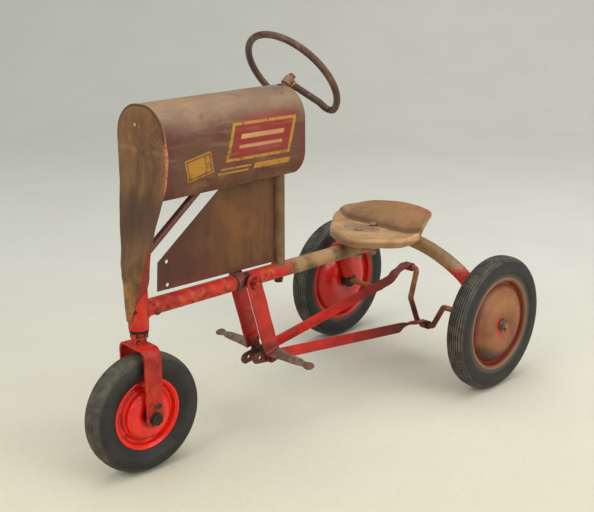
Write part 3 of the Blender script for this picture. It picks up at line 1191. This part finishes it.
WHEEL_R, BEND_R, SPOKE_A, RING_S = 88.0, 15.0, radians(62), 417.0
turn = asin(BEND_R / (WHEEL_R - BEND_R))
foot = (WHEEL_R - BEND_R) * cos(turn)
half = [wheel_point(7 + (foot - 7) * k / 8, SPOKE_A, 405 + (RING_S - 405) * min(1, k / 7))
        for k in range(9)]
cu, cv = (WHEEL_R - BEND_R) * cos(SPOKE_A - turn), (WHEEL_R - BEND_R) * sin(SPOKE_A - turn)
for k in range(1, 10):
    a = SPOKE_A + pi / 2 - (pi / 2 + turn) * k / 10
    half.append(Vector(column_point(RING_S)) + Vector((cu + BEND_R * cos(a), 0, 0))
                + lower * (cv + BEND_R * sin(a)))
steps = 60
half += [wheel_point(WHEEL_R, SPOKE_A - turn - (SPOKE_A - turn + pi / 2) * k / steps, RING_S)
         for k in range(steps + 1)]
path = half + [Vector((-p.x, p.y, p.z)) for p in half[-2::-1]]
rim = tube("wheel_rim", path, 5.75, "steering", M_STEERING, 24)
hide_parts("steering_wheel")


def barrel(name, stations, body, material, sides=36):
    """A turned piece from (point, radius) stations along the column."""
    side, up = Vector((1, 0, 0)), lower
    rings = [circle(Vector(p), side, up, r, sides) for p, r in stations]
    return loft(name, rings, body, material, 35)


hub = barrel("wheel_boss", [(column_point(396), 7.6), (column_point(397), 8.6), (column_point(410), 8.7),
                            (column_point(411.4), 7.8), (column_point(411.4), 5.9)], "steering", M_POST)
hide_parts("wheel_hub")
for k, a in ((0, SPOKE_A), (1, pi - SPOKE_A)):
    middle, across = wheel_point(9.6, a, 405.6), wheel_point(1, a + pi / 2, 0)
    ring = [tuple(middle + 6.2 * (along * cos(t) + across * sin(t) - Vector(column_point(0)) * sin(t)))
            for t in loop]
    bead(f"weld_spoke_{k}", ring, 1.9, "steering", M_BRASS, 14, 9 + k)


def dome(name, centre, normal, r, tall, body, material):
    """A low domed head on a surface."""
    n = Vector(normal).normalized()
    side = n.orthogonal().normalized()
    up = n.cross(side)
    rings = []
    for k in range(8):
        a = radians(90 * k / 7)
        rr, h = r * cos(a), tall * sin(a)
        rings.append(circle(Vector(centre) + n * h, side, up, max(rr, 0.05), 28))
    return loft(name, rings, body, material, 50)


dome("shroud_rivet", (-9.0, curve_at(SHROUD_FACE, 545) - 0.9, 545), (0, -1, 0.05), 3.2, 1.8, ROOT, M_BRASS)
dome("spine_screw", (SPINE_R - 0.6, -317, 258.5), (1, 0, -0.45), 5.4, 3.0, ROOT, M_BOLT)
for side, sign in SIDES:
    x = sign * 226.6
    pin = [(x + 1.2 * sign, REAR_Y + 5.5, REAR_R + 9.5), (x, REAR_Y + 2.2, REAR_R + 8),
           (x, REAR_Y, REAR_R + 3), (x, REAR_Y - 0.5, REAR_R - 4), (x, REAR_Y - 2, REAR_R - 8.5),
           (x + 0.6 * sign, REAR_Y - 7, REAR_R - 11)]
    tube(f"cotter_pin_{side}", smooth_line(pin, 5), 1.0, "crank", M_NUT, 12, 60, 0.55)

# ---- CAD nodes that stay ----
KEEP = {
    M_FRAME: ["head_tube"],
    M_SPINE: ["spine_tube"],
    M_TAN: ["rear_arch"],
    M_FORK: ["fork_strap"],
    M_STEM: ["fork_stem", "stem_collar", "pivot_bolt"],
    M_PANEL: ["side_panel"],
    M_POST: ["post"],
    M_SHAFT: ["steering_shaft"],
    M_CRANK: ["crank_rod"],
    M_NUT: ["axle_nut_left", "axle_nut_right"],
    M_BAND: ["pivot_band"],
    M_ARM: ["link_lug_left", "link_lug_right"],
    M_RIVET: ["seat_bolt_front", "seat_bolt_rear"],
}
ROUND = {"spine_tube", "rear_arch", "steering_wheel", "steering_shaft", "crank_rod"}
chosen = {n: mat for mat, names in KEEP.items() for n in names}
for name, obj in NODES.items():
    material = chosen.get(name, M_DARK)
    obj.data.materials.clear()
    obj.data.materials.append(material)
    if name not in ROUND and not obj.hide_render:
        weld = obj.modifiers.new("weld", "WELD")
        weld.merge_threshold = 2e-6
        bevel(obj, "edge", 0.5, 40)


# ---- stage, light and camera ----
FLOOR_NEAR, COVE_R, ROOM_COVE_R = -6.0, 2.2, 2.5


def stage(name, verts, faces, material):
    mesh = bpy.data.meshes.new(name)
    mesh.from_pydata(verts, [], faces)
    mesh.shade_smooth()
    mesh.materials.append(material)
    obj = bpy.data.objects.new(name, mesh)
    bpy.context.scene.collection.objects.link(obj)
    return obj


def backdrop():
    """A pale floor that curves up into a wall behind the object."""
    m = Mat("studio_paper")
    n = m.noise(3.0, 4, 0.6)
    depth = m.sub(m.x, m.y)
    near = m.mul(m.step(depth, -1.6, 1.9), m.step(depth, 2.4, 0.8))
    side = m.step(m.add(m.x, m.y), -1.4, 2.6)
    wall = m.mix(side, rgb(209, 209, 200), rgb(224, 222, 213))
    m.skin = m.mix(near, wall, rgb(212, 207, 176))
    m.coat(m.step(n, 0.4, 0.6), rgb(190, 188, 172), 0.1)
    m.coat(m.blotch(0.5, 0.62, 90, 5, 0.6, seed=2), rgb(160, 158, 140), 0.06)
    material = m.done(0.9, m.bump(m.noise(140, 5, 0.6), 0.0005, 0.3), Specular_IOR_Level=0.1)
    turn = radians(45.3)  # towards the wall, away from the camera
    away = Vector((-sin(turn), cos(turn), 0))
    sideways = Vector((away.y, -away.x, 0))
    quarter = [radians(a) for a in range(0, 91, 6)]
    line = [(FLOOR_NEAR, 0.0)] + [(2.6 + COVE_R * sin(a), COVE_R * (1 - cos(a))) for a in quarter]
    line += [(2.6 + COVE_R, 7.5)]
    rows = [[away * d + sideways * s + Vector((0, 0, h)) for s in (-9, -3, 3, 9)] for d, h in line]
    stage("studio_floor", [tuple(p) for row in rows for p in row], quads(len(rows), 4), material)
    # a round room beyond it that only the camera sees, for the views from other sides
    profile = [(0.0, -0.004), (4.0, -0.004)]
    profile += [(6.5 + ROOM_COVE_R * sin(a), 2.496 - ROOM_COVE_R * cos(a)) for a in quarter] + [(9.0, 9.0)]
    ring = [(cos(radians(a)), sin(radians(a))) for a in range(0, 360, 5)]
    verts = [(r * c, r * s, h) for r, h in profile for c, s in ring]
    wall = stage("studio_wall", verts, quads(len(profile), len(ring), False, True), material)
    wall.visible_diffuse = wall.visible_glossy = wall.visible_shadow = wall.visible_transmission = False


backdrop()


def area(name, location, target, size, power, colour):
    """A soft rectangular light: size in metres, power in watts."""
    light = bpy.data.lights.new(name, "AREA")
    light.shape, light.size, light.size_y = "RECTANGLE", *size
    light.energy, light.color = power, colour
    obj = bpy.data.objects.new(name, light)
    obj.location = location
    obj.rotation_euler = (Vector(target) - Vector(location)).to_track_quat("-Z", "Y").to_euler()
    bpy.context.scene.collection.objects.link(obj)


area("overhead", (0.3, 0.2, 3.2), (0, 0, 0.2), (3.4, 3.4), 56, (1.0, 0.99, 0.96))
area("key", (0.2, -2.9, 2.3), (0, 0, 0.35), (1.6, 1.4), 34, (1.0, 0.985, 0.95))
area("fill", (3.0, 0.6, 1.6), (0, 0, 0.3), (2.0, 1.6), 38, (1.0, 0.98, 0.94))
world = bpy.data.worlds.new("studio")
bpy.context.scene.world = world
world.use_nodes = True
sky = world.node_tree.nodes["Background"]
sky.inputs[0].default_value, sky.inputs[1].default_value = WORLD_COLOUR, WORLD_POWER
bpy.context.scene.view_settings.view_transform = "Standard"

cam = bpy.data.cameras.new("camera")
cam.sensor_width, cam.lens = 36.0, CAMERA_LENS
cam.clip_start, cam.clip_end = 0.05, 50
camera = bpy.data.objects.new("camera", cam)
camera.location = CAMERA_AT
camera.rotation_euler = (radians(90 + CAMERA_PITCH), 0, radians(CAMERA_TURN))
bpy.context.scene.collection.objects.link(camera)
bpy.context.scene.camera = camera
